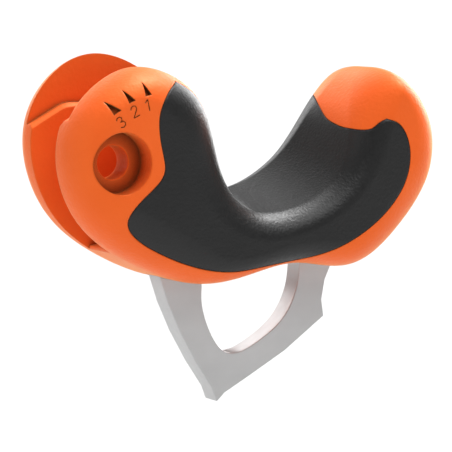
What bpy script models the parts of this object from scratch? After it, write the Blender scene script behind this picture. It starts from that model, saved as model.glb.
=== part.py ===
"""Adjustable hand rest for a tool handle: an orange crescent with a clevis, a soft grip pad,
a steel spike plate and a sprung index pin.

All sizes below are in millimetres. Meshes are scaled to metres when they are made.
Frame: origin on the handle bolt's axis in the middle of the clevis slot, +X towards the horn,
+Y towards the rear cheek, +Z up. Each outline lies in the XZ plane.
"""

import math

import bmesh
import bpy
import numpy as np

METRE = 0.001

# Crescent, clockwise from the left: (x, z, the rounding's reach into the face, its reach in Y, how
# far the front edge is drawn in from the rear one, how far the seat's front edge is a crest).
HALF_THICKNESS = 14.5
CRESCENT = (
    (-10.7, 0.0, 8.0, 9.5, 0.9, 0),
    (-9.2, 11.1, 8.2, 9.5, 2.2, 0),
    (-1.6, 19.1, 8.6, 10.0, 2.9, 0),
    (7.8, 20.2, 9.0, 10.0, 1.8, 0),
    (18.6, 14.0, 9.5, 10.0, 0.1, 0),
    (22.8, 5.6, 9.5, 10.0, 0.0, 0.1),
    (25.4, -2.7, 9.5, 10.0, 0.6, 0.7),
    (30.5, -7.2, 9.2, 10.5, 2.2, 1),
    (38.7, -5.3, 10.4, 11.5, 4.2, 1),
    (46.6, 0.8, 11.6, 12.5, 4.6, 1),
    (53.6, 10.2, 9.4, 13.5, 1.5, 0.5),
    (61.2, 16.7, 5.6, 13.5, 0.1, 0),
    (66.3, 16.4, 5.6, 13.5, 0.0, 0),
    (73.9, 8.3, 8.0, 13.0, 0.0, 0),
    (74.6, -4.7, 9.5, 12.0, 0.0, 0),
    (66.4, -16.2, 9.5, 10.5, 0.0, 0),
    (54.6, -23.0, 7.0, 8.5, 0.0, 0),
    (41.2, -21.7, 4.8, 6.0, 0.0, 0),
    (29.4, -23.7, 4.5, 6.0, 0.0, 0),
    (19.2, -24.9, 7.0, 8.0, 0.0, 0),
    (5.2, -20.0, 9.5, 9.5, 0.0, 0),
    (-5.5, -11.8, 8.2, 9.5, 0.1, 0),
)
CREST_ANGLE = math.radians(30)
CREST_ROUNDING = 8.0
REAR_ROUNDING = 0.84
OUTLINE_STEPS = 96
ROUND_STEPS = 5
# Every cutter that goes right through reaches this far on each side.
CUTTER_REACH = 20.0

# Clevis slot: a narrow zone round the bolt, and a wider zone above the ridge.
SLOT_RADIUS = 17.5
SLOT_WALL_X = 15.0
NARROW_HALF_GAP = 4.7
WIDE_HALF_GAP = 6.9
RIDGE_OUTLINE = ((-25.0, -1.3), (-3.1, 11.0), (25.0, 11.0), (25.0, 40.0), (-25.0, 40.0))

# Handle bolt's holes, all on the Y axis.
COUNTERBORE_RADIUS = 6.0
COUNTERBORE_DEPTH = 4.9
BOLT_HOLE_RADIUS = 3.3
NUT_HOLE_RADIUS = 3.3
NUT_BORE_RADIUS = 2.6
NUT_ACROSS_FLATS = 10.0
NUT_Y = (6.9, 11.7)
RETAINER_RADIUS = 6.2
RETAINER_BORE_RADIUS = 3.6
RETAINER_Y = (12.0, 13.2)

# Soft pad: the corners of its outline on the cheek faces, closed over the seat's side.
PAD_DEPTH = 2.0
PAD_OUTLINE = (
    (13.9, 15.6),
    (10.5, 13.6),
    (8.2, 10.4),
    (7.7, 6.5),
    (8.4, 2.0),
    (8.9, -1.5),
    (7.3, -4.3),
    (2.6, -8.5),
    (1.3, -11.5),
    (3.5, -14.6),
    (9.8, -18.3),
    (17.3, -21.1),
    (24.5, -22.1),
    (31.5, -21.5),
    (41.0, -20.4),
    (48.0, -18.5),
    (56.0, -14.4),
    (63.0, -7.5),
    (65.0, -0.5),
    (63.9, 4.0),
    (61.9, 6.2),
    (59.4, 7.1),
    (57.2, 8.8),
    (56.0, 12.0),
    (48.0, 20.0),
    (30.0, 12.0),
    (19.6, 17.5),
)
# The body's core below the pad reaches this far out in Y, between these corners.
PAD_CORE = ((22.0, -26.5), (60.0, -26.5), (60.0, -13.5), (22.0, -13.5))
PAD_CORE_HALF = 9.2

# Tongues of bare nylon that run down the seat between the pad's tabs: (y, distance up the slope).
HORN_TONGUE = (
    (-14.3, 55.0),
    (-14.3, 46.6),
    (-14.0, 45.9),
    (-13.4, 44.3),
    (-12.9, 42.8),
    (-12.4, 42.1),
    (-11.8, 41.6),
    (-10.3, 40.9),
    (-7.3, 40.4),
    (-5.0, 40.5),
    (-2.8, 40.8),
    (-0.9, 41.5),
    (3.8, 44.2),
    (7.5, 45.9),
    (10.5, 47.0),
    (14.5, 47.6),
    (16.0, 49.0),
    (16.0, 55.0),
)
HORN_SLOPE = math.radians(46.7)
HORN_TONGUE_LEVELS = (-40.0, -15.0)
LIMB_TONGUE = (
    (-10.2, 30.0),
    (-9.7, 13.0),
    (-9.3, 10.0),
    (-9.0, 6.5),
    (-8.6, 4.2),
    (-7.5, 3.2),
    (7.5, 3.2),
    (8.6, 4.2),
    (9.0, 6.5),
    (9.3, 10.0),
    (9.7, 13.0),
    (10.2, 30.0),
)
LIMB_TONGUE_X = (11.0, 30.0)

# Spike plate in the middle plane, with its closing bar hidden in the crescent.
PLATE_HALF_THICKNESS = 2.5
PLATE_OUTLINE = (
    (13.4, -22.5),
    (15.6, -29.0),
    (18.4, -35.2),
    (22.0, -41.5),
    (25.7, -47.0),
    (26.8, -49.8),
    (28.6, -48.1),
    (33.7, -45.4),
    (42.6, -40.5),
    (51.9, -33.9),
    (51.4, -30.5),
    (52.2, -26.3),
    (54.0, -22.5),
    (54.0, -14.0),
    (53.0, -13.0),
    (17.0, -13.0),
    (15.5, -14.0),
)
EYE_OUTLINE = (
    (23.4, -25.4),
    (23.4, -29.5),
    (25.2, -35.3),
    (27.9, -39.2),
    (31.2, -40.1),
    (36.9, -37.7),
    (42.3, -33.5),
    (45.3, -28.0),
    (46.0, -24.0),
    (44.5, -19.8),
    (25.0, -19.8),
)
PIN_PLACES = {"spike_pin_left": (19.5, -16.0), "spike_pin_right": (50.0, -15.6)}
PIN_RADIUS = 1.5
PIN_HALF_LENGTH = 11.4
PIN_HOLE_HALF_LENGTH = 12.4
PIN_CHAMFER = 0.4

# Index plunger in the rear cheek: a sprung pin that clicks into the handle.
INDEX_PLACE = (10.5, -7.0)
NOSE_HOLE_RADIUS = 2.3
SLEEVE_RADIUS = 4.0
SLEEVE_Y = (5.9, 11.9)
SLEEVE_HOLE_END_Y = 12.3
SLEEVE_FLOOR_Y = 6.6
SLEEVE_BORE_RADIUS = 3.0
NOSE_RADIUS = 1.9
NOSE_TIP_Y = 3.2
COLLAR_RADIUS = 2.8
COLLAR_Y = (6.8, 7.5)
STUB_RADIUS = 1.2
STUB_END_Y = 8.1
SPRING_RADIUS = 2.1
SPRING_WIRE_RADIUS = 0.2
SPRING_TURNS = 3
SPRING_Y = (7.8, 10.5)
PLUG_RADIUS = 2.8
PLUG_Y = (10.8, 11.8)
RUNNING_GAP = 0.2

FIT_GAP = 0.3
COLOURS = {
    "orange_nylon": ((0.87, 0.16, 0.02), 0.45, 0.0),
    "soft_grip": ((0.03, 0.03, 0.033), 0.7, 0.0),
    "steel": ((0.50, 0.50, 0.49), 0.35, 1.0),
    "zinc_steel": ((0.62, 0.63, 0.62), 0.4, 1.0),
    "spring_steel": ((0.42, 0.42, 0.43), 0.3, 1.0),
    "black_nylon": ((0.02, 0.02, 0.02), 0.5, 0.0),
}


def clear_scene():
    for item in list(bpy.data.objects):
        bpy.data.objects.remove(item)


def material(name):
    """The Principled material of this name, made once."""
    if name in bpy.data.materials:
        return bpy.data.materials[name]
    colour, roughness, metallic = COLOURS[name]
    made = bpy.data.materials.new(name)
    made.use_nodes = True
    shader = made.node_tree.nodes["Principled BSDF"]
    shader.inputs["Base Color"].default_value = (*colour, 1.0)
    shader.inputs["Roughness"].default_value = roughness
    shader.inputs["Metallic"].default_value = metallic
    return made


def add_object(name, mesh_data, slot=None):
    """An object from a bmesh in millimetres. Without a slot it's a cutter."""
    bmesh.ops.scale(mesh_data, vec=(METRE, METRE, METRE), verts=mesh_data.verts)
    bmesh.ops.recalc_face_normals(mesh_data, faces=mesh_data.faces)
    mesh = bpy.data.meshes.new(name)
    mesh_data.to_mesh(mesh)
    mesh_data.free()
    made = bpy.data.objects.new(name, mesh)
    bpy.context.scene.collection.objects.link(made)
    if slot is None:
        made.hide_render = True
        made.display_type = "WIRE"
    else:
        mesh.materials.append(material(slot))
        mesh.shade_smooth()
        mesh.set_sharp_from_angle(angle=math.radians(35))
    return made


def cut(target, cutter, operation="DIFFERENCE"):
    modifier = target.modifiers.new(cutter.name, "BOOLEAN")
    modifier.operation = operation
    modifier.solver = "EXACT"
    modifier.object = cutter


def closed_curve(points, count):
    """Even points of the smooth closed curve (a periodic cubic) through the given rows."""
    rows = np.asarray(points, float)
    size = len(rows)
    step = np.sqrt(np.linalg.norm(np.roll(rows[:, :2], -1, 0) - rows[:, :2], axis=1))
    system = np.zeros((size, size))
    target = np.zeros_like(rows)
    for i in range(size):
        after = (i + 1) % size
        system[i, i - 1] = step[i - 1]
        system[i, i] = 2 * (step[i - 1] + step[i])
        system[i, after] = step[i]
        target[i] = 6 * ((rows[after] - rows[i]) / step[i] - (rows[i] - rows[i - 1]) / step[i - 1])
    bend = np.linalg.solve(system, target)
    fine = []
    for i in range(size):
        after = (i + 1) % size
        for u in np.linspace(0, step[i], 60, endpoint=False):
            v = step[i] - u
            cubic = (bend[i] * v**3 + bend[after] * u**3) / (6 * step[i])
            line_in = (rows[i] / step[i] - bend[i] * step[i] / 6) * v
            line_out = (rows[after] / step[i] - bend[after] * step[i] / 6) * u
            fine.append(cubic + line_in + line_out)
    fine.append(fine[0])
    fine = np.array(fine)
    run = np.concatenate([[0], np.cumsum(np.linalg.norm(np.diff(fine[:, :2], axis=0), axis=1))])
    even = np.linspace(0, run[-1], count, endpoint=False)
    return np.stack([np.interp(even, run, fine[:, k]) for k in range(fine.shape[1])], axis=1)


def inward_normals(points):
    """Unit normals in the XZ plane that point into a clockwise outline."""
    along = np.roll(points, -1, 0) - np.roll(points, 1, 0)
    along /= np.linalg.norm(along, axis=1)[:, None]
    return np.stack([along[:, 1], -along[:, 0]], axis=1)


def crescent_rings(depth):
    """Rings of the rounded crescent from its front face to its rear face, sunk by depth."""
    curve = closed_curve(CRESCENT, OUTLINE_STEPS)
    points = curve[:, :2]
    full_reach, crown, draw_in, crest = curve[:, 2:].T
    crest = np.clip(crest, 0, 1)
    inward = inward_normals(points)
    rings = []
    for side in (-1, 1):
        start, first, rounding = 0.0, 0.0, crown * REAR_ROUNDING
        if side == -1:
            start, first, rounding = draw_in, CREST_ANGLE * crest, crown + (CREST_ROUNDING - crown) * crest
        reach = full_reach - start
        for step in np.linspace(1, 0, ROUND_STEPS + 1)[:: -side]:
            angle = first + (math.pi / 2 - first) * step
            lift, spread = np.sin(angle), np.cos(angle)
            slant = np.hypot(spread / reach, lift / rounding)
            inset = start + reach * (1 - spread) + depth * spread / (reach * slant)
            y = side * (HALF_THICKNESS - rounding * (1 - lift) - depth * lift / (rounding * slant))
            ring = points + inward * inset[:, None]
            rings.append(np.column_stack([ring[:, 0], y, ring[:, 1]]))
    return rings


def loft(rings):
    """A closed bmesh through rings of equal length, with flat ends."""
    made = bmesh.new()
    loops = [[made.verts.new(point) for point in ring] for ring in rings]
    for lower, upper in zip(loops, loops[1:]):
        for i in range(len(lower)):
            j = (i + 1) % len(lower)
            made.faces.new((lower[i], lower[j], upper[j], upper[i]))
    made.faces.new(loops[0][::-1])
    made.faces.new(loops[-1])
    return made


def prism(outline, low, high):
    """A closed bmesh of an XZ outline between two values of Y."""
    return loft([[(x, y, z) for x, z in outline] for y in (low, high)])


def turned(place, stations, sides=32, turn=0.0):
    """A closed bmesh turned about a line along Y. Each station is (y, radius)."""
    rings = []
    angles = [2 * math.pi * k / sides + turn for k in range(sides)]
    for y, radius in stations:
        ring = [(place[0] + radius * math.cos(a), y, place[1] + radius * math.sin(a)) for a in angles]
        rings.append(ring)
    return loft(rings)


def tube(place, stations, sides=32):
    """A turned ring: the stations go along its outside and back through its bore."""
    made = bmesh.new()
    angles = [2 * math.pi * k / sides for k in range(sides)]
    loops = []
    for y, radius in stations:
        ring = [(place[0] + radius * math.cos(a), y, place[1] + radius * math.sin(a)) for a in angles]
        loops.append([made.verts.new(point) for point in ring])
    for lower, upper in zip(loops, loops[1:] + loops[:1]):
        for i in range(sides):
            j = (i + 1) % sides
            made.faces.new((lower[i], lower[j], upper[j], upper[i]))
    return made


def hexagon(across_flats, low, high):
    radius = across_flats / math.sqrt(3)
    return turned((0, 0), [(low, radius), (high, radius)], sides=6, turn=math.pi / 6)


def offset_outline(outline, distance):
    """An outline moved outwards by distance, with mitred corners."""
    points = np.asarray(outline, float)
    before = points - np.roll(points, 1, 0)
    after = np.roll(points, -1, 0) - points
    before /= np.linalg.norm(before, axis=1)[:, None]
    after /= np.linalg.norm(after, axis=1)[:, None]
    area = np.sum(points[:, 0] * np.roll(points[:, 1], -1) - np.roll(points[:, 0], -1) * points[:, 1])
    turn = 1 if area > 0 else -1
    normals = [np.stack([d[:, 1], -d[:, 0]], axis=1) * turn for d in (before, after)]
    middle = normals[0] + normals[1]
    scale = 2 / np.sum(middle**2, axis=1)
    return points + distance * middle * scale[:, None]


def slot_outline():
    """The clevis slot's outline: open to the left and the top, round at the bottom right."""
    turn = math.acos(SLOT_WALL_X / SLOT_RADIUS)
    angles = np.linspace(turn, math.radians(-84), 24)
    arc = [(SLOT_RADIUS * math.cos(a), SLOT_RADIUS * math.sin(a)) for a in angles]
    return [(SLOT_WALL_X, 30.0), *arc, (arc[-1][0], -30.0), (-25.0, -30.0), (-25.0, 30.0)]


def horn_tongue(grow):
    """A prism square to the horn's slope, grown by a distance."""
    along = (math.cos(HORN_SLOPE), math.sin(HORN_SLOPE))
    away = (-along[1], along[0])
    outline = offset_outline(HORN_TONGUE, grow)
    rings = []
    for level in HORN_TONGUE_LEVELS:
        x, z = level * away[0], level * away[1]
        rings.append([(s * along[0] + x, y, s * along[1] + z) for y, s in outline])
    return loft(rings)


def limb_tongue(grow):
    outline = offset_outline(LIMB_TONGUE, grow)
    return loft([[(x, y, z) for y, z in outline] for x in LIMB_TONGUE_X])


def helix(place, y_range, radius, wire, turns):
    """A coil of round wire along Y, with flat ends."""
    steps = turns * 16
    rings = []
    for k in range(steps + 1):
        angle = 2 * math.pi * turns * k / steps
        centre_y = y_range[0] + wire + (y_range[1] - y_range[0] - 2 * wire) * k / steps
        ring = []
        for side in range(6):
            around = 2 * math.pi * side / 6
            reach = radius + wire * math.cos(around)
            y = centre_y + wire * math.sin(around)
            ring.append((place[0] + reach * math.cos(angle), y, place[1] + reach * math.sin(angle)))
        rings.append(ring)
    return loft(rings)


def make_pad():
    pad = add_object("grip_pad", loft(crescent_rings(0.0)), "soft_grip")
    cut(pad, add_object("pad_region", prism(PAD_OUTLINE, -CUTTER_REACH, CUTTER_REACH)), "INTERSECT")
    cut(pad, add_object("pad_inside", loft(crescent_rings(PAD_DEPTH))))
    cut(pad, add_object("pad_core", prism(PAD_CORE, -PAD_CORE_HALF, PAD_CORE_HALF)))
    cut(pad, add_object("pad_horn_tongue", horn_tongue(0.0)))
    cut(pad, add_object("pad_limb_tongue", limb_tongue(0.0)))


def make_pad_pocket():
    """The cutter that leaves room for the pad in the body."""
    pocket = add_object("pocket", prism(offset_outline(PAD_OUTLINE, FIT_GAP), -CUTTER_REACH, CUTTER_REACH))
    cut(pocket, add_object("pocket_floor", loft(crescent_rings(PAD_DEPTH + FIT_GAP))))
    half = PAD_CORE_HALF - FIT_GAP
    cut(pocket, add_object("pocket_core", prism(PAD_CORE, -half, half)))
    cut(pocket, add_object("pocket_horn_tongue", horn_tongue(-FIT_GAP)))
    cut(pocket, add_object("pocket_limb_tongue", limb_tongue(-FIT_GAP)))
    return pocket


def make_body():
    body = add_object("rest_body", loft(crescent_rings(0.0)), "orange_nylon")
    cut(body, make_pad_pocket())
    cut(body, add_object("slot_narrow", prism(slot_outline(), -NARROW_HALF_GAP, NARROW_HALF_GAP)))
    wide = add_object("slot_wide", prism(slot_outline(), -WIDE_HALF_GAP, WIDE_HALF_GAP))
    cut(wide, add_object("ridge_limit", prism(RIDGE_OUTLINE, -CUTTER_REACH, CUTTER_REACH)), "INTERSECT")
    cut(body, wide)
    floor_y = COUNTERBORE_DEPTH - HALF_THICKNESS
    front_hole = [(-CUTTER_REACH, COUNTERBORE_RADIUS), (floor_y, COUNTERBORE_RADIUS)]
    front_hole += [(floor_y, BOLT_HOLE_RADIUS), (0, BOLT_HOLE_RADIUS)]
    cut(body, add_object("front_hole", turned((0, 0), front_hole, 48)))
    cut(body, add_object("rear_hole", turned((0, 0), [(1, NUT_HOLE_RADIUS), (9, NUT_HOLE_RADIUS)])))
    nut_pocket = hexagon(NUT_ACROSS_FLATS + 2 * FIT_GAP, NUT_Y[0] - FIT_GAP, CUTTER_REACH)
    cut(body, add_object("nut_pocket", nut_pocket))
    recess = [(y, RETAINER_RADIUS + FIT_GAP) for y in (RETAINER_Y[0] - FIT_GAP, CUTTER_REACH)]
    cut(body, add_object("retainer_recess", turned((0, 0), recess, 48)))
    sleeve_floor, sleeve_radius = SLEEVE_Y[0] - FIT_GAP, SLEEVE_RADIUS + RUNNING_GAP
    sleeve_hole = [(0, NOSE_HOLE_RADIUS), (sleeve_floor, NOSE_HOLE_RADIUS)]
    sleeve_hole += [(sleeve_floor, sleeve_radius), (SLEEVE_HOLE_END_Y, sleeve_radius)]
    cut(body, add_object("sleeve_hole", turned(INDEX_PLACE, sleeve_hole)))
    half = PLATE_HALF_THICKNESS + FIT_GAP
    cut(body, add_object("plate_channel", prism(offset_outline(PLATE_OUTLINE, FIT_GAP), -half, half)))
    for name, place in PIN_PLACES.items():
        hole = [(side * PIN_HOLE_HALF_LENGTH, PIN_RADIUS + RUNNING_GAP) for side in (-1, 1)]
        cut(body, add_object(name + "_hole", turned(place, hole, 24)))


def make_plate():
    thickness = PLATE_HALF_THICKNESS
    plate = add_object("spike_plate", prism(PLATE_OUTLINE, -thickness, thickness), "steel")
    cut(plate, add_object("eye", prism(EYE_OUTLINE, -CUTTER_REACH, CUTTER_REACH)))
    for name, place in PIN_PLACES.items():
        hole = [(side * CUTTER_REACH, PIN_RADIUS + RUNNING_GAP) for side in (-1, 1)]
        cut(plate, add_object(name + "_plate_hole", turned(place, hole, 24)))
        end, shoulder = PIN_HALF_LENGTH, PIN_HALF_LENGTH - PIN_CHAMFER
        stations = [(-end, PIN_RADIUS - PIN_CHAMFER), (-shoulder, PIN_RADIUS)]
        stations += [(shoulder, PIN_RADIUS), (end, PIN_RADIUS - PIN_CHAMFER)]
        add_object(name, turned(place, stations, 24), "zinc_steel")


def make_nut():
    nut = add_object("clamp_nut", hexagon(NUT_ACROSS_FLATS, *NUT_Y), "zinc_steel")
    cut(nut, add_object("nut_bore", turned((0, 0), [(0, NUT_BORE_RADIUS), (20, NUT_BORE_RADIUS)])))
    front, back = RETAINER_Y
    stations = [(front, RETAINER_RADIUS), (back - 0.3, RETAINER_RADIUS), (back, RETAINER_RADIUS - 0.3)]
    stations += [(back, RETAINER_BORE_RADIUS), (front, RETAINER_BORE_RADIUS)]
    add_object("nut_retainer", tube((0, 0), stations, 48), "black_nylon")


def make_plunger():
    front, back = SLEEVE_Y
    bore = SLEEVE_BORE_RADIUS
    nose_hole = NOSE_RADIUS + RUNNING_GAP
    stations = [(front, SLEEVE_RADIUS), (back, SLEEVE_RADIUS), (back, bore), (SLEEVE_FLOOR_Y, bore)]
    stations += [(SLEEVE_FLOOR_Y, nose_hole), (front, nose_hole)]
    add_object("index_sleeve", tube(INDEX_PLACE, stations), "zinc_steel")

    stations = []
    for angle in np.radians((8, 30, 50, 70, 90)):
        y = NOSE_TIP_Y + NOSE_RADIUS * (1 - math.cos(angle))
        stations.append((y, NOSE_RADIUS * math.sin(angle)))
    stations += [(COLLAR_Y[0], NOSE_RADIUS), (COLLAR_Y[0], COLLAR_RADIUS), (COLLAR_Y[1], COLLAR_RADIUS)]
    stations += [(COLLAR_Y[1], STUB_RADIUS), (STUB_END_Y, STUB_RADIUS)]
    add_object("index_pin", turned(INDEX_PLACE, stations), "steel")

    spring = helix(INDEX_PLACE, SPRING_Y, SPRING_RADIUS, SPRING_WIRE_RADIUS, SPRING_TURNS)
    add_object("index_spring", spring, "spring_steel")
    add_object("index_plug", turned(INDEX_PLACE, [(y, PLUG_RADIUS) for y in PLUG_Y]), "zinc_steel")


clear_scene()
make_body()
make_pad()
make_plate()
make_nut()
make_plunger()
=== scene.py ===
"""Looks of the adjustable hand rest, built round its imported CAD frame.

Shape sizes are in millimetres and meshes are scaled to metres when they are made. The frame's
origin is on the handle bolt's axis, +X towards the horn, +Y towards the rear cheek, +Z up.
"""

import math

import bmesh
import bpy
import numpy as np
from mathutils import Matrix, Vector
from mathutils.bvhtree import BVHTree


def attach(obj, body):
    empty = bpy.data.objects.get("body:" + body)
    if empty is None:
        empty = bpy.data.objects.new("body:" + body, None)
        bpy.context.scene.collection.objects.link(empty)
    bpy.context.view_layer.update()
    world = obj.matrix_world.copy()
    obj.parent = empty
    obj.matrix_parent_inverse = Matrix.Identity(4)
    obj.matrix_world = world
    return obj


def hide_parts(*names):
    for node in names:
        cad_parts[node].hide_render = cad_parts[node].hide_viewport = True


METRE = 0.001

# Crescent, clockwise from the left: (x, z, the rounding's reach into the face, its reach in Y, how
# far the front edge is drawn in from the rear one, how far the seat's front edge is a crest).
HALF_THICKNESS = 14.5
CRESCENT = (
    (-10.7, 0.0, 8.0, 9.5, 0.9, 0),
    (-9.2, 11.1, 8.2, 9.5, 2.2, 0),
    (-1.6, 19.1, 8.6, 10.0, 2.9, 0),
    (7.8, 20.2, 9.0, 10.0, 1.8, 0),
    (18.6, 14.0, 9.5, 10.0, 0.1, 0),
    (22.8, 5.6, 9.5, 10.0, 0.0, 0.1),
    (25.4, -2.7, 9.5, 10.0, 0.6, 0.7),
    (30.5, -7.2, 9.2, 10.5, 2.2, 1),
    (38.7, -5.3, 10.4, 11.5, 4.2, 1),
    (46.6, 0.8, 11.6, 12.5, 4.6, 1),
    (53.6, 10.2, 9.4, 13.5, 1.5, 0.5),
    (61.2, 16.7, 5.6, 13.5, 0.1, 0),
    (66.3, 16.4, 5.6, 13.5, 0.0, 0),
    (73.9, 8.3, 8.0, 13.0, 0.0, 0),
    (74.6, -4.7, 9.5, 12.0, 0.0, 0),
    (66.4, -16.2, 9.5, 10.5, 0.0, 0),
    (54.6, -23.0, 7.0, 8.5, 0.0, 0),
    (41.2, -21.7, 4.8, 6.0, 0.0, 0),
    (29.4, -23.7, 4.5, 6.0, 0.0, 0),
    (19.2, -24.9, 7.0, 8.0, 0.0, 0),
    (5.2, -20.0, 9.5, 9.5, 0.0, 0),
    (-5.5, -11.8, 8.2, 9.5, 0.1, 0),
)
CREST_ANGLE = math.radians(30)
CREST_ROUNDING = 8.0
REAR_ROUNDING = 0.84
OUTLINE_STEPS = 264
ROUND_STEPS = 14
CURVE_STEPS = 60

# Clevis slot, with a chamfered ridge where its wide zone begins.
SLOT_RADIUS = 17.5
SLOT_WALL_X = 15.0
SLOT_ARC_END = math.radians(-84)
SLOT_ARC_STEPS = 48
SLOT_REACH_X = -25.0
SLOT_REACH_Z = 30.0
NARROW_HALF_GAP = 4.7
WIDE_HALF_GAP = 6.9
RIDGE = ((-25.0, -1.3), (-4.1, 10.4), (-3.1, 10.8), (-2.0, 11.0), (25.0, 11.0))
RIDGE_CHAMFER = 0.8
RIDGE_CHAMFER_DROP = 0.9
CHAMFER_OVERLAP = 0.1
WIDE_SLOT_TOP_Z = 40.0

# The bolt's counterbore and hole, the nut's pocket, its retainer and the index sleeve's hole.
COUNTERBORE_RADIUS = 6.0
COUNTERBORE_FLOOR_Y = -9.6
RIM_CHAMFER = 0.15
SEAT_CHAMFER = 0.2
BOLT_HOLE_RADIUS = 3.3
NUT_HOLE_RADIUS = 3.3
NUT_POCKET_ACROSS_FLATS = 10.6
NUT_POCKET_FLOOR_Y = 6.6
NUT_HOLE_Y = (1.0, 9.0)
RETAINER_FLOOR_Y = 11.7
RETAINER_RECESS_RADIUS = 6.5
INDEX_PLACE = (10.5, -7.0)
NOSE_HOLE_RADIUS = 2.3
SLEEVE_HOLE_Y = (5.6, 12.3)
SLEEVE_HOLE_RADIUS = 4.2
CUTTER_REACH = 20.0
ROUND_SIDES = 64
FINE_SIDES = 96

# Soft pad: its outline on the cheek faces, closed over the seat's side.
PAD_STEPS = 300
PAD_DEPTH = 2.0
PAD_SEAM = 0.12
POCKET_CLEARANCE = 0.05
PAD_OUTLINE = (
    (13.9, 15.6),
    (10.5, 13.6),
    (8.2, 10.4),
    (7.7, 6.5),
    (8.4, 2.0),
    (8.9, -1.5),
    (7.3, -4.3),
    (2.6, -8.5),
    (1.3, -11.5),
    (3.5, -14.6),
    (9.8, -18.3),
    (17.3, -21.1),
    (24.5, -22.1),
    (31.5, -21.5),
    (41.0, -20.4),
    (48.0, -18.5),
    (56.0, -14.4),
    (63.0, -7.5),
    (65.0, -0.5),
    (63.9, 4.0),
    (61.9, 6.2),
    (59.4, 7.1),
    (57.2, 8.8),
    (56.0, 12.0),
    (48.0, 20.0),
    (30.0, 12.0),
    (19.6, 17.5),
)
# The body's core below the pad reaches this far out in Y, between these corners.
PAD_CORE = ((22.0, -26.5), (60.0, -26.5), (60.0, -13.5), (22.0, -13.5))
PAD_CORE_HALF = 9.2
PAD_CORE_CLEARANCE = 0.1
# Where the moulding shows through the pad on the seat, as (y, distance along the slope) on the
# horn and as (y, z) on the limb above the slot.
TONGUE_STEPS = 120
HORN_TONGUE = (
    (-14.3, 55.0),
    (-14.3, 46.6),
    (-14.0, 45.9),
    (-13.4, 44.3),
    (-12.9, 42.8),
    (-12.4, 42.1),
    (-11.8, 41.6),
    (-10.3, 40.9),
    (-7.3, 40.4),
    (-5.0, 40.5),
    (-2.8, 40.8),
    (-0.9, 41.5),
    (3.8, 44.2),
    (7.5, 45.9),
    (10.5, 47.0),
    (14.5, 47.6),
    (16.0, 49.0),
    (16.0, 55.0),
)
HORN_SLOPE = math.radians(46.7)
HORN_TONGUE_LEVELS = (-40.0, -15.0)
LIMB_TONGUE = (
    (-10.2, 30.0),
    (-9.7, 13.0),
    (-9.3, 10.0),
    (-9.0, 6.5),
    (-8.6, 4.2),
    (-7.5, 3.2),
    (7.5, 3.2),
    (8.6, 4.2),
    (9.0, 6.5),
    (9.3, 10.0),
    (9.7, 13.0),
    (10.2, 30.0),
)
LIMB_TONGUE_X = (11.0, 30.0)

# Spike plate and its eye.
PLATE_HALF_THICKNESS = 2.5
PLATE_EDGE_BEVEL = 0.25
PLATE_CLEARANCE = 0.3
PLATE_OUTLINE = (
    (13.4, -22.5),
    (15.6, -29.0),
    (18.4, -35.2),
    (22.0, -41.5),
    (25.7, -47.0),
    (26.8, -49.8),
    (28.6, -48.1),
    (33.7, -45.4),
    (42.6, -40.5),
    (51.9, -33.9),
    (51.4, -30.5),
    (52.2, -26.3),
    (54.0, -22.5),
    (54.0, -14.0),
    (53.0, -13.0),
    (17.0, -13.0),
    (15.5, -14.0),
)
EYE_STEPS = 90
EYE_CUTTER_REACH = 9.0
EYE_OUTLINE = (
    (23.4, -25.4),
    (23.4, -29.5),
    (25.2, -35.3),
    (27.9, -39.2),
    (31.2, -40.1),
    (36.9, -37.7),
    (42.3, -33.5),
    (45.3, -28.0),
    (46.0, -24.0),
    (44.5, -19.8),
    (25.0, -19.8),
)

# Hand-size marks on the front cheek: a pointer's corners and a numeral's place, height and lean.
RAY_START_Y = -30.0
POINTER_TOP_Y = -25.0
POINTER_DEPTH = 0.8
POINTERS = (
    ((-3.2, 11.9), (-0.5, 10.3), (-2.0, 9.3)),
    ((0.4, 14.1), (2.5, 12.1), (1.2, 11.5)),
    ((4.7, 15.5), (6.1, 13.1), (4.7, 12.8)),
)
NUMERALS = (("3", (-0.6, 8.0), 38), ("2", (2.3, 10.0), 25), ("1", (5.2, 11.1), 12))
NUMERAL_HEIGHT = 2.2
NUMERAL_STROKE = 0.14
NUMERAL_DEPTH = 0.1
STROKES = {
    "1": (((-0.25, 0.25), (-0.08, 0.4), (0.03, 0.5)), ((0.05, 0.5), (0.05, 0.0), (0.05, -0.5))),
    "2": (
        (
            (-0.3, 0.25),
            (-0.18, 0.44),
            (0.02, 0.5),
            (0.22, 0.42),
            (0.28, 0.22),
            (0.16, 0.0),
            (-0.3, -0.48),
        ),
        ((-0.3, -0.5), (0.0, -0.5), (0.32, -0.5)),
    ),
    "3": (
        ((-0.28, 0.36), (-0.1, 0.5), (0.14, 0.47), (0.26, 0.28), (0.16, 0.09), (-0.06, 0.03)),
        ((-0.02, 0.02), (0.22, -0.06), (0.3, -0.27), (0.18, -0.45), (-0.04, -0.5), (-0.3, -0.36)),
    ),
}

# Camera and floor, in metres: a long lens to the left of the front face, a little above.
CAMERA_TARGET = Vector((30.25, 0.0, -14.5)) * METRE
CAMERA_DISTANCE = 0.514
CAMERA_AZIMUTH = math.radians(-29.0)
CAMERA_ELEVATION = math.radians(5.5)
CAMERA_LENS = 202.5
FLOOR_Z = -0.16
FLOOR_HALF_SIZE = 40.0

# Lamps: (name, direction it shines from, apparent size in degrees, strength).
LAMPS = (
    ("key", (0.44, 0.08, 0.88), 28, 3.6),
    ("top", (-0.1, -0.05, 1.0), 25, 0.7),
    ("front", (0.15, -0.6, 0.8), 35, 1.0),
    ("back", (-0.1, 0.9, 0.5), 50, 1.2),
    ("right", (0.8, 0.5, 0.22), 40, 2.2),
    ("left", (-1.0, -0.12, 0.2), 60, 0.6),
)
ROOM_LIGHT = 0.32


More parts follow.
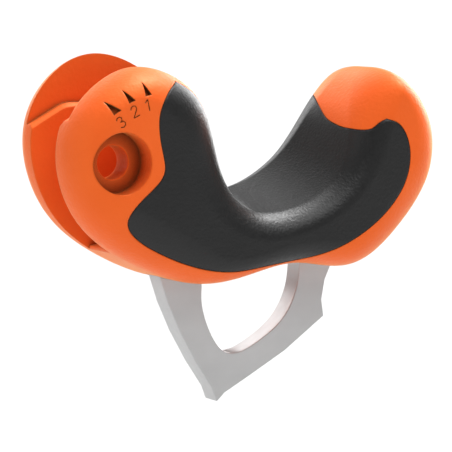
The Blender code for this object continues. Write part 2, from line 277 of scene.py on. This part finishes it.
def closed_curve(points, count):
    """Even points of the smooth closed curve (a periodic cubic) through the given rows."""
    rows = np.asarray(points, float)
    size = len(rows)
    step = np.sqrt(np.linalg.norm(np.roll(rows[:, :2], -1, 0) - rows[:, :2], axis=1))
    system = np.zeros((size, size))
    target = np.zeros_like(rows)
    for i in range(size):
        after = (i + 1) % size
        system[i, i - 1] = step[i - 1]
        system[i, i] = 2 * (step[i - 1] + step[i])
        system[i, after] = step[i]
        target[i] = 6 * ((rows[after] - rows[i]) / step[i] - (rows[i] - rows[i - 1]) / step[i - 1])
    bend = np.linalg.solve(system, target)
    fine = []
    for i in range(size):
        after = (i + 1) % size
        for u in np.linspace(0, step[i], CURVE_STEPS, endpoint=False):
            v = step[i] - u
            cubic = (bend[i] * v**3 + bend[after] * u**3) / (6 * step[i])
            line_in = (rows[i] / step[i] - bend[i] * step[i] / 6) * v
            line_out = (rows[after] / step[i] - bend[after] * step[i] / 6) * u
            fine.append(cubic + line_in + line_out)
    fine.append(fine[0])
    fine = np.array(fine)
    run = np.concatenate([[0], np.cumsum(np.linalg.norm(np.diff(fine[:, :2], axis=0), axis=1))])
    even = np.linspace(0, run[-1], count, endpoint=False)
    return np.stack([np.interp(even, run, fine[:, k]) for k in range(fine.shape[1])], axis=1)


def inward_normals(points):
    """Unit normals in the XZ plane that point into a clockwise outline."""
    along = np.roll(points, -1, 0) - np.roll(points, 1, 0)
    along /= np.linalg.norm(along, axis=1)[:, None]
    return np.stack([along[:, 1], -along[:, 0]], axis=1)


def moved_outline(outline, distance):
    """A smooth outline moved outwards by distance, whichever way it runs."""
    points = np.asarray(outline, float)
    after = np.roll(points, -1, 0)
    clockwise = np.sum(points[:, 0] * after[:, 1] - after[:, 0] * points[:, 1]) < 0
    return points - inward_normals(points) * (distance if clockwise else -distance)


def crescent_rings(depth):
    """Rings of the rounded crescent from its front face to its rear face, sunk by depth."""
    curve = closed_curve(CRESCENT, OUTLINE_STEPS)
    points = curve[:, :2]
    full_reach, crown, draw_in, crest = curve[:, 2:].T
    crest = np.clip(crest, 0, 1)
    inward = inward_normals(points)
    rings = []
    for side in (-1, 1):
        start, first, rounding = 0.0, 0.0, crown * REAR_ROUNDING
        if side == -1:
            start, first = draw_in, CREST_ANGLE * crest
            rounding = crown + (CREST_ROUNDING - crown) * crest
        reach = full_reach - start
        for step in np.linspace(1, 0, ROUND_STEPS + 1)[:: -side]:
            angle = first + (math.pi / 2 - first) * step
            lift, spread = np.sin(angle), np.cos(angle)
            slant = np.hypot(spread / reach, lift / rounding)
            inset = start + reach * (1 - spread) + depth * spread / (reach * slant)
            y = side * (HALF_THICKNESS - rounding * (1 - lift) - depth * lift / (rounding * slant))
            ring = points + inward * inset[:, None]
            rings.append(np.column_stack([ring[:, 0], y, ring[:, 1]]))
    return rings


def loft(rings):
    """A closed bmesh through rings of equal length, with flat ends."""
    made = bmesh.new()
    loops = [[made.verts.new(point) for point in ring] for ring in rings]
    for lower, upper in zip(loops, loops[1:]):
        for i in range(len(lower)):
            j = (i + 1) % len(lower)
            made.faces.new((lower[i], lower[j], upper[j], upper[i]))
    made.faces.new(loops[0][::-1])
    made.faces.new(loops[-1])
    return made


def prism(outline, low, high):
    """A closed bmesh of an XZ outline between two values of Y."""
    return loft([[(x, y, z) for x, z in outline] for y in (low, high)])


def turned(place, stations, sides=ROUND_SIDES, turn=0.0):
    """A closed bmesh turned about a line along Y. Each station is (y, radius)."""
    angles = [2 * math.pi * k / sides + turn for k in range(sides)]
    rings = []
    for y, radius in stations:
        ring = [(place[0] + radius * math.cos(a), y, place[1] + radius * math.sin(a)) for a in angles]
        rings.append(ring)
    return loft(rings)


def new_object(name, mesh_data):
    """An object from a bmesh in millimetres."""
    bmesh.ops.scale(mesh_data, vec=(METRE, METRE, METRE), verts=mesh_data.verts)
    bmesh.ops.recalc_face_normals(mesh_data, faces=mesh_data.faces)
    mesh = bpy.data.meshes.new(name)
    mesh_data.to_mesh(mesh)
    mesh_data.free()
    made = bpy.data.objects.new(name, mesh)
    bpy.context.scene.collection.objects.link(made)
    return made


def carve(target, cutters, operation="DIFFERENCE"):
    """Takes each bmesh in turn away from the target's mesh, or with INTERSECT keeps what they share."""
    for number, mesh_data in enumerate(cutters):
        cutter = new_object(f"cutter_{number}", mesh_data)
        modifier = target.modifiers.new("cut", "BOOLEAN")
        modifier.operation = operation
        modifier.solver = "EXACT"
        modifier.object = cutter
        keep_result(target)
        bpy.data.objects.remove(cutter)


def keep_result(target):
    """Replaces the target's mesh with what its modifiers make of it."""
    graph = bpy.context.evaluated_depsgraph_get()
    result = bpy.data.meshes.new_from_object(target.evaluated_get(graph))
    target.modifiers.clear()
    target.data = result


def taken_mesh(target):
    """The target's mesh as a bmesh in millimetres. The target is removed."""
    made = bmesh.new()
    made.from_mesh(target.data)
    bmesh.ops.scale(made, vec=(1 / METRE, 1 / METRE, 1 / METRE), verts=made.verts)
    bpy.data.objects.remove(target)
    return made


def shade(target):
    """Smooth faces, with sharp edges kept where the surface turns by more than 30 degrees."""
    target.data.shade_smooth()
    target.data.set_sharp_from_angle(angle=math.radians(30))
    weighted = target.modifiers.new("normals", "WEIGHTED_NORMAL")
    weighted.keep_sharp = True
    weighted.weight = 90


def finish_piece(piece, finish, body, replaced):
    """Gives a piece its material, its body and the frame node it stands in for."""
    piece.data.materials.clear()
    piece.data.materials.append(finish)
    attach(piece, body)
    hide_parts(replaced)


def slot_outline():
    """The clevis slot's outline: a wall and an arc on the right, open on the other sides."""
    turn = math.acos(SLOT_WALL_X / SLOT_RADIUS)
    angles = np.linspace(turn, SLOT_ARC_END, SLOT_ARC_STEPS)
    arc = [(SLOT_RADIUS * math.cos(a), SLOT_RADIUS * math.sin(a)) for a in angles]
    start = (SLOT_WALL_X, SLOT_REACH_Z)
    corners = [(arc[-1][0], -SLOT_REACH_Z), (SLOT_REACH_X, -SLOT_REACH_Z), (SLOT_REACH_X, SLOT_REACH_Z)]
    return [start, *arc, *corners]


def wide_slot():
    """The slot above the ridge, with the ridge's edge chamfered on both cheeks."""
    straight = NARROW_HALF_GAP + RIDGE_CHAMFER
    edge = NARROW_HALF_GAP - CHAMFER_OVERLAP
    stations = (
        (-WIDE_HALF_GAP, 0.0),
        (-straight, 0.0),
        (-edge, RIDGE_CHAMFER_DROP),
        (edge, RIDGE_CHAMFER_DROP),
        (straight, 0.0),
        (WIDE_HALF_GAP, 0.0),
    )
    rings = []
    for y, drop in stations:
        lower = [(x, y, z - drop) for x, z in RIDGE]
        rings.append([*lower, (RIDGE[-1][0], y, WIDE_SLOT_TOP_Z), (RIDGE[0][0], y, WIDE_SLOT_TOP_Z)])
    wide = new_object("wide_slot", prism(slot_outline(), -WIDE_HALF_GAP, WIDE_HALF_GAP))
    carve(wide, [loft(rings)], "INTERSECT")
    return taken_mesh(wide)


def horn_tongue(grow):
    """A smooth prism square to the horn's slope."""
    along = (math.cos(HORN_SLOPE), math.sin(HORN_SLOPE))
    away = (-along[1], along[0])
    outline = moved_outline(closed_curve(HORN_TONGUE, TONGUE_STEPS), grow)
    rings = []
    for level in HORN_TONGUE_LEVELS:
        ring = [(s * along[0] + level * away[0], y, s * along[1] + level * away[1]) for y, s in outline]
        rings.append(ring)
    return loft(rings)


def limb_tongue(grow):
    """A smooth prism along X."""
    outline = moved_outline(closed_curve(LIMB_TONGUE, TONGUE_STEPS), grow)
    return loft([[(x, y, z) for y, z in outline] for x in LIMB_TONGUE_X])


def pad_region(grow):
    """The pad's outline carried through the whole thickness."""
    return prism(moved_outline(closed_curve(PAD_OUTLINE, PAD_STEPS), grow), -CUTTER_REACH, CUTTER_REACH)


def surface_tree(target):
    """The target's surface, ready for rays to be cast at it."""
    graph = bpy.context.evaluated_depsgraph_get()
    return BVHTree.FromObject(target, graph)


def front_surface(tree, x, z):
    """The front surface's Y at a place, in millimetres."""
    hit = tree.ray_cast(Vector((x, RAY_START_Y, z)) * METRE, Vector((0, 1, 0)))[0]
    return hit.y / METRE


def groove(path, radius, sides=10):
    """A closed round tube along a path, to cut a groove with."""
    points = np.array(path)
    along = np.gradient(points, axis=0)
    along /= np.linalg.norm(along, axis=1)[:, None]
    across = np.cross(along, (0, 1, 0))
    across /= np.linalg.norm(across, axis=1)[:, None]
    lift = np.cross(across, along)
    rings = []
    for point, side, up in zip(points, across, lift):
        angles = [2 * math.pi * k / sides for k in range(sides)]
        rings.append([point + radius * (math.cos(a) * side + math.sin(a) * up) for a in angles])
    return loft(rings)


def mark_cutters(tree):
    """Cutters for the pointers and the numerals, set on the rounded cheek."""
    cutters = []
    for corners in POINTERS:
        floor = [(x, front_surface(tree, x, z) + POINTER_DEPTH, z) for x, z in corners]
        cutters.append(loft([[(x, POINTER_TOP_Y, z) for x, z in corners], floor]))
    for text, place, lean in NUMERALS:
        turn = math.radians(lean)
        for stroke in STROKES[text]:
            path = []
            for u, v in stroke:
                x = place[0] + NUMERAL_HEIGHT * (u * math.cos(turn) - v * math.sin(turn))
                z = place[1] + NUMERAL_HEIGHT * (u * math.sin(turn) + v * math.cos(turn))
                path.append((x, front_surface(tree, x, z) + NUMERAL_DEPTH, z))
            cutters.append(groove(path, NUMERAL_STROKE))
    return cutters


def pad_pocket():
    """What the pad takes out of the body: the pad grown by its seam and clearance."""
    pocket = new_object("pocket", pad_region(PAD_SEAM))
    half = PAD_CORE_HALF - PAD_CORE_CLEARANCE
    core = prism(PAD_CORE, -half, half)
    floor = loft(crescent_rings(PAD_DEPTH + POCKET_CLEARANCE))
    carve(pocket, [floor, core, horn_tongue(-PAD_SEAM), limb_tongue(-PAD_SEAM)])
    return taken_mesh(pocket)


def bolt_cutters():
    """The bolt's counterbore and holes, the nut's pocket and the retainer's recess."""
    rim_y = -HALF_THICKNESS
    flare = COUNTERBORE_RADIUS + RIM_CHAMFER
    front_hole = (
        (rim_y - 1, flare + 1),
        (rim_y, flare),
        (RIM_CHAMFER + rim_y, COUNTERBORE_RADIUS),
        (COUNTERBORE_FLOOR_Y, COUNTERBORE_RADIUS),
        (COUNTERBORE_FLOOR_Y, BOLT_HOLE_RADIUS + SEAT_CHAMFER),
        (COUNTERBORE_FLOOR_Y + SEAT_CHAMFER, BOLT_HOLE_RADIUS),
        (0, BOLT_HOLE_RADIUS),
    )
    nut_hole = [(y, NUT_HOLE_RADIUS) for y in NUT_HOLE_Y]
    hexagon_radius = NUT_POCKET_ACROSS_FLATS / math.sqrt(3)
    nut_pocket = [(y, hexagon_radius) for y in (NUT_POCKET_FLOOR_Y, CUTTER_REACH)]
    recess = [(y, RETAINER_RECESS_RADIUS) for y in (RETAINER_FLOOR_Y, CUTTER_REACH)]
    return [
        turned((0, 0), front_hole, FINE_SIDES),
        turned((0, 0), nut_hole),
        turned((0, 0), nut_pocket, 6, math.pi / 6),
        turned((0, 0), recess, FINE_SIDES),
    ]


def index_cutter():
    """The index pin's hole into the slot and the sleeve's hole behind it."""
    floor_y, end_y = SLEEVE_HOLE_Y
    stations = (
        (0, NOSE_HOLE_RADIUS),
        (floor_y, NOSE_HOLE_RADIUS),
        (floor_y, SLEEVE_HOLE_RADIUS),
        (end_y, SLEEVE_HOLE_RADIUS),
    )
    return turned(INDEX_PLACE, stations)


def build_body():
    body = new_object("rest_shell", loft(crescent_rings(0.0)))
    marks = mark_cutters(surface_tree(body))
    channel_half = PLATE_HALF_THICKNESS + PLATE_CLEARANCE
    channel = prism(moved_outline(PLATE_OUTLINE, PLATE_CLEARANCE), -channel_half, channel_half)
    narrow = prism(slot_outline(), -NARROW_HALF_GAP, NARROW_HALF_GAP)
    carve(body, [pad_pocket(), narrow, wide_slot(), *bolt_cutters(), index_cutter(), channel, *marks])
    shade(body)
    return body


def build_pad():
    pad = new_object("soft_pad", loft(crescent_rings(0.0)))
    carve(pad, [pad_region(0.0)], "INTERSECT")
    core = prism(PAD_CORE, -PAD_CORE_HALF, PAD_CORE_HALF)
    carve(pad, [loft(crescent_rings(PAD_DEPTH)), core, horn_tongue(0.0), limb_tongue(0.0)])
    shade(pad)
    return pad


def build_plate():
    plate = new_object("spike_blade", prism(PLATE_OUTLINE, -PLATE_HALF_THICKNESS, PLATE_HALF_THICKNESS))
    carve(plate, [prism(closed_curve(EYE_OUTLINE, EYE_STEPS), -EYE_CUTTER_REACH, EYE_CUTTER_REACH)])
    bevel = plate.modifiers.new("edges", "BEVEL")
    bevel.width = PLATE_EDGE_BEVEL * METRE
    bevel.segments = 2
    bevel.angle_limit = math.radians(40)
    keep_result(plate)
    shade(plate)
    return plate


def new_material(name):
    """A node material, and its shader."""
    made = bpy.data.materials.new(name)
    made.use_nodes = True
    return made, made.node_tree.nodes["Principled BSDF"]


def noise(tree, scale, detail=2.0, stretch=(1, 1, 1)):
    """A noise texture in object space. Scale is in cells per metre."""
    place = tree.nodes.new("ShaderNodeTexCoord")
    mapping = tree.nodes.new("ShaderNodeMapping")
    mapping.inputs["Scale"].default_value = stretch
    texture = tree.nodes.new("ShaderNodeTexNoise")
    texture.inputs["Scale"].default_value = scale
    texture.inputs["Detail"].default_value = detail
    tree.links.new(place.outputs["Object"], mapping.inputs["Vector"])
    tree.links.new(mapping.outputs["Vector"], texture.inputs["Vector"])
    return texture.outputs["Fac"]


def ramp(tree, source, low, high, start=0.35, end=0.65):
    """Spreads a noise between two colours."""
    node = tree.nodes.new("ShaderNodeValToRGB")
    node.color_ramp.elements[0].position = start
    node.color_ramp.elements[0].color = (*low, 1)
    node.color_ramp.elements[1].position = end
    node.color_ramp.elements[1].color = (*high, 1)
    tree.links.new(source, node.inputs["Fac"])
    return node.outputs["Color"]


def spread(tree, source, low, high):
    """Spreads a noise between two values."""
    node = tree.nodes.new("ShaderNodeMapRange")
    node.inputs["From Min"].default_value = 0.3
    node.inputs["From Max"].default_value = 0.7
    node.inputs["To Min"].default_value = low
    node.inputs["To Max"].default_value = high
    tree.links.new(source, node.inputs["Value"])
    return node.outputs["Result"]


def rough_surface(tree, shader, height, depth, soft_edge):
    """Bump from a height, over edges softened by a small radius."""
    bevel = tree.nodes.new("ShaderNodeBevel")
    bevel.inputs["Radius"].default_value = soft_edge
    bump = tree.nodes.new("ShaderNodeBump")
    bump.inputs["Distance"].default_value = depth
    bump.inputs["Strength"].default_value = 1.0
    tree.links.new(bevel.outputs["Normal"], bump.inputs["Normal"])
    tree.links.new(height, bump.inputs["Height"])
    tree.links.new(bump.outputs["Normal"], shader.inputs["Normal"])


def painted_shade_in_holes(tree, colour, dark, reach):
    """Painted shade: mixes a colour towards a dark one where the surface is closed in within a short
    reach.
    """
    closed_in = tree.nodes.new("ShaderNodeAmbientOcclusion")
    closed_in.samples = 8
    closed_in.inputs["Distance"].default_value = reach
    openness = tree.nodes.new("ShaderNodeMapRange")
    openness.inputs["From Min"].default_value = 0.35
    openness.inputs["From Max"].default_value = 0.8
    mix = tree.nodes.new("ShaderNodeMix")
    mix.data_type = "RGBA"
    mix.inputs["A"].default_value = (*dark, 1)
    tree.links.new(closed_in.outputs["AO"], openness.inputs["Value"])
    tree.links.new(openness.outputs["Result"], mix.inputs["Factor"])
    tree.links.new(colour, mix.inputs["B"])
    return mix.outputs["Result"]


def orange_nylon():
    made, shader = new_material("orange_moulded_nylon")
    tree = made.node_tree
    colour = ramp(tree, noise(tree, 60, 3), (0.86, 0.112, 0.017), (0.90, 0.126, 0.021))
    # Painted shade: the orange turns dark brown in the bore, the slot's corners and the marks' grooves.
    colour = painted_shade_in_holes(tree, colour, (0.09, 0.012, 0.005), 0.006)
    tree.links.new(colour, shader.inputs["Base Color"])
    tree.links.new(spread(tree, noise(tree, 900), 0.44, 0.52), shader.inputs["Roughness"])
    rough_surface(tree, shader, noise(tree, 1500, 3), 0.00008, 0.0005)
    shader.inputs["Specular Tint"].default_value = (1.0, 0.7, 0.2, 1)
    shader.inputs["Specular IOR Level"].default_value = 0.5
    shader.inputs["Sheen Weight"].default_value = 0.35
    shader.inputs["Sheen Roughness"].default_value = 0.35
    shader.inputs["Sheen Tint"].default_value = (1.0, 0.75, 0.2, 1)
    return made


def soft_grip():
    made, shader = new_material("black_soft_grip")
    tree = made.node_tree
    colour = ramp(tree, noise(tree, 80, 3), (0.0025, 0.0025, 0.0026), (0.0045, 0.0045, 0.0046))
    tree.links.new(colour, shader.inputs["Base Color"])
    tree.links.new(spread(tree, noise(tree, 1200), 0.36, 0.46), shader.inputs["Roughness"])
    rough_surface(tree, shader, noise(tree, 1900, 3), 0.00008, 0.0005)
    shader.inputs["Specular IOR Level"].default_value = 0.42
    shader.inputs["Sheen Weight"].default_value = 0.02
    shader.inputs["Sheen Roughness"].default_value = 0.5
    return made


def metal(name, low, high, roughness, stretch, scale, metallic=1.0):
    """A worked metal: fine lines along one axis and a soft change of tone."""
    made, shader = new_material(name)
    tree = made.node_tree
    lines = noise(tree, scale, 3, stretch)
    tree.links.new(ramp(tree, noise(tree, 90, 3), low, high), shader.inputs["Base Color"])
    tree.links.new(spread(tree, lines, *roughness), shader.inputs["Roughness"])
    rough_surface(tree, shader, lines, 0.000004, 0.00012)
    shader.inputs["Metallic"].default_value = metallic
    return made


def black_nylon():
    made, shader = new_material("black_moulded_nylon")
    tree = made.node_tree
    colour = ramp(tree, noise(tree, 200), (0.018, 0.018, 0.018), (0.028, 0.028, 0.028))
    tree.links.new(colour, shader.inputs["Base Color"])
    tree.links.new(spread(tree, noise(tree, 900), 0.4, 0.55), shader.inputs["Roughness"])
    rough_surface(tree, shader, noise(tree, 2600), 0.00002, 0.0002)
    return made


def stage_floor():
    """A broad pale floor, well below the part."""
    floor_mesh = bmesh.new()
    bmesh.ops.create_grid(floor_mesh, x_segments=1, y_segments=1, size=FLOOR_HALF_SIZE)
    mesh = bpy.data.meshes.new("floor")
    floor_mesh.to_mesh(mesh)
    floor_mesh.free()
    floor = bpy.data.objects.new("floor", mesh)
    floor.location = (0, 0, FLOOR_Z)
    bpy.context.scene.collection.objects.link(floor)
    made, shader = new_material("pale_floor")
    shader.inputs["Base Color"].default_value = (0.48, 0.48, 0.48, 1)
    shader.inputs["Roughness"].default_value = 0.9
    shader.inputs["Specular IOR Level"].default_value = 0.1
    mesh.materials.append(made)


def soft_sun(name, toward, angle, strength):
    """A broad distant light that shines from a direction."""
    light = bpy.data.lights.new(name, "SUN")
    light.angle = math.radians(angle)
    light.energy = strength
    made = bpy.data.objects.new(name, light)
    made.rotation_euler = Vector(toward).to_track_quat("Z", "Y").to_euler()
    bpy.context.scene.collection.objects.link(made)


def light_scene():
    """A white studio: the backdrop is white to the eye, and most light comes from broad lamps."""
    world = bpy.data.worlds.new("studio")
    world.use_nodes = True
    tree = world.node_tree
    background = tree.nodes["Background"]
    background.inputs["Color"].default_value = (1, 1, 1, 1)
    background.inputs["Strength"].default_value = ROOM_LIGHT
    backdrop = tree.nodes.new("ShaderNodeBackground")
    backdrop.inputs["Strength"].default_value = 1.0
    rays = tree.nodes.new("ShaderNodeLightPath")
    mix = tree.nodes.new("ShaderNodeMixShader")
    tree.links.new(rays.outputs["Is Camera Ray"], mix.inputs["Fac"])
    tree.links.new(background.outputs["Background"], mix.inputs[1])
    tree.links.new(backdrop.outputs["Background"], mix.inputs[2])
    tree.links.new(mix.outputs["Shader"], tree.nodes["World Output"].inputs["Surface"])
    bpy.context.scene.world = world
    for name, toward, angle, strength in LAMPS:
        soft_sun(name, toward, angle, strength)


def add_camera():
    """Adds the camera at its angle and distance from the target."""
    back = Vector(
        (
            math.sin(CAMERA_AZIMUTH) * math.cos(CAMERA_ELEVATION),
            -math.cos(CAMERA_AZIMUTH) * math.cos(CAMERA_ELEVATION),
            math.sin(CAMERA_ELEVATION),
        )
    )
    right = Vector((math.cos(CAMERA_AZIMUTH), math.sin(CAMERA_AZIMUTH), 0))
    up = back.cross(right)
    camera = bpy.data.cameras.new("camera")
    camera.lens = CAMERA_LENS
    camera.sensor_width = 36.0
    made = bpy.data.objects.new("camera", camera)
    matrix = Matrix((right, up, back)).transposed().to_4x4()
    matrix.translation = CAMERA_TARGET + back * CAMERA_DISTANCE
    made.matrix_world = matrix
    bpy.context.scene.collection.objects.link(made)
    bpy.context.scene.camera = made


bpy.context.scene.view_settings.view_transform = "Standard"
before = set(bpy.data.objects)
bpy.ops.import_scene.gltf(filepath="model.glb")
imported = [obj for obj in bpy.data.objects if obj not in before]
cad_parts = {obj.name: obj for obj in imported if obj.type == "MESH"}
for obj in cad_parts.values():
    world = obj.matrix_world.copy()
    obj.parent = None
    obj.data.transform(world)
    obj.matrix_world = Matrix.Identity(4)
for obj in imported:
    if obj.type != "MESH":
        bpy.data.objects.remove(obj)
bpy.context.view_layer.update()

steel = metal("satin_steel", (0.48, 0.48, 0.48), (0.52, 0.52, 0.52), (0.32, 0.42), (0.05, 1, 1), 900, 0.6)
zinc = metal("zinc_plated_steel", (0.55, 0.56, 0.56), (0.66, 0.67, 0.66), (0.35, 0.5), (1, 1, 1), 1500)
wire = metal("spring_steel_wire", (0.36, 0.36, 0.37), (0.46, 0.46, 0.47), (0.25, 0.35), (1, 1, 1), 1500)
carried = {
    "clamp_nut": zinc,
    "spike_pin_left": zinc,
    "spike_pin_right": zinc,
    "index_sleeve": zinc,
    "index_plug": zinc,
    "index_pin": steel,
    "index_spring": wire,
    "nut_retainer": black_nylon(),
}
for node, finish in carried.items():
    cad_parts[node].material_slots[0].material = finish

finish_piece(build_body(), orange_nylon(), "rest", "rest_body")
finish_piece(build_pad(), soft_grip(), "rest", "grip_pad")
finish_piece(build_plate(), steel, "rest", "spike_plate")

stage_floor()
light_scene()
add_camera()
